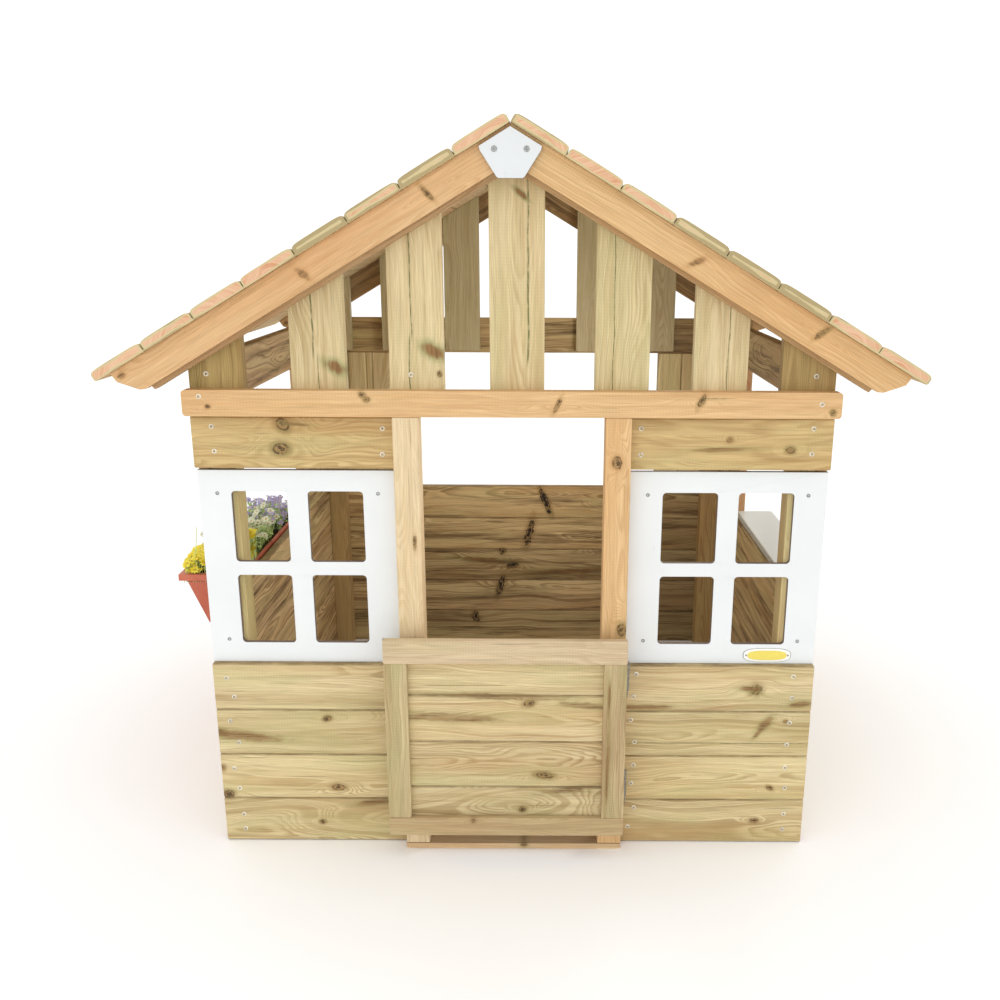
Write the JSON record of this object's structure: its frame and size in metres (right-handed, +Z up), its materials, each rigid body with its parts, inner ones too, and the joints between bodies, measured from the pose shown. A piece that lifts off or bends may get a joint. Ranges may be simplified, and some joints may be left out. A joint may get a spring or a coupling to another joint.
{
  "type": "playhouse",
  "caption": "Timber garden playhouse with a pitched board roof, slatted gables, white window panels, a hinged half door, a counter shelf and a lift-off flower planter.",
  "frame": {"origin": "on the floor, under the middle of the playhouse's bounding box", "axes": "+X to the house's right seen from the front (counter shelf side), +Y towards the back wall, +Z up"},
  "size_m": [1.794, 1.4466, 1.7054],
  "materials": {
    "pine_boards": "planed, impregnated, satin",
    "pine_slats": "planed, impregnated, satin",
    "pine_battens": "planed, satin",
    "pine_roof": "rough sawn, matte",
    "white_panel": "smooth, satin",
    "shelf_board": "smooth, satin",
    "planter_plastic": "terracotta, matte",
    "zinc_steel": "zinc plated"
  },
  "bodies": {
    "house": {"front_left_lower_boards": "pine_boards", "front_right_lower_boards": "pine_boards", "front_left_upper_board": "pine_boards", "front_right_upper_board": "pine_boards", "front_left_window_panel": "white_panel", "front_right_window_panel": "white_panel", "door_post_left": "pine_battens", "door_post_right": "pine_battens", "threshold": "pine_battens", "front_eave_rail": "pine_battens", "front_slat_1": "pine_slats", "front_slat_2": "pine_slats", "front_slat_3": "pine_slats", "front_slat_4": "pine_slats", "front_slat_5": "pine_slats", "front_slat_6": "pine_slats", "front_slat_7": "pine_slats", "front_rafter_left": "pine_battens", "front_rafter_right": "pine_battens", "front_apex_plate": "white_panel", "back_wall_boards": "pine_boards", "back_eave_board": "pine_boards", "back_left_side_boards": "pine_slats", "back_right_side_boards": "pine_slats", "back_slat_1": "pine_slats", "back_slat_2": "pine_slats", "back_slat_3": "pine_slats", "back_slat_4": "pine_slats", "back_slat_5": "pine_slats", "back_slat_6": "pine_slats", "back_slat_7": "pine_slats", "back_rafter_left": "pine_battens", "back_rafter_right": "pine_battens", "back_apex_plate": "white_panel", "left_wall_boards": "pine_boards", "right_wall_boards": "pine_boards", "left_eave_board": "pine_boards", "right_eave_board": "pine_boards", "left_front_upper_boards": "pine_boards", "left_rear_upper_boards": "pine_boards", "right_front_upper_boards": "pine_boards", "right_rear_upper_boards": "pine_boards", "corner_post_front_left": "pine_battens", "corner_post_front_right": "pine_battens", "corner_post_back_left": "pine_battens", "corner_post_back_right": "pine_battens", "counter_shelf": "shelf_board", "roof_left": "pine_roof", "roof_right": "pine_roof", "hinge_lower_post_leaf": "zinc_steel", "hinge_upper_post_leaf": "zinc_steel", "planter_bracket": "zinc_steel"},
    "door": {"door_boards": "pine_boards", "door_top_rail": "pine_battens", "door_bottom_rail": "pine_battens", "door_stile_left": "pine_battens", "door_stile_right": "pine_battens", "hinge_lower_door_leaf": "zinc_steel", "hinge_upper_door_leaf": "zinc_steel"},
    "planter": {"planter": "planter_plastic"}
  },
  "joints": [
    {"name": "door_hinge", "type": "hinge", "parent": "house", "child": "door", "pos_m": [0.271, -0.6779, 0.3], "axis": [0, 0, 1], "range_deg": [0, 110]},
    {"name": "planter_lift", "type": "slide", "parent": "house", "child": "planter", "axis": [0, 0, 1], "range_m": [0, 0.25]}
  ]
}
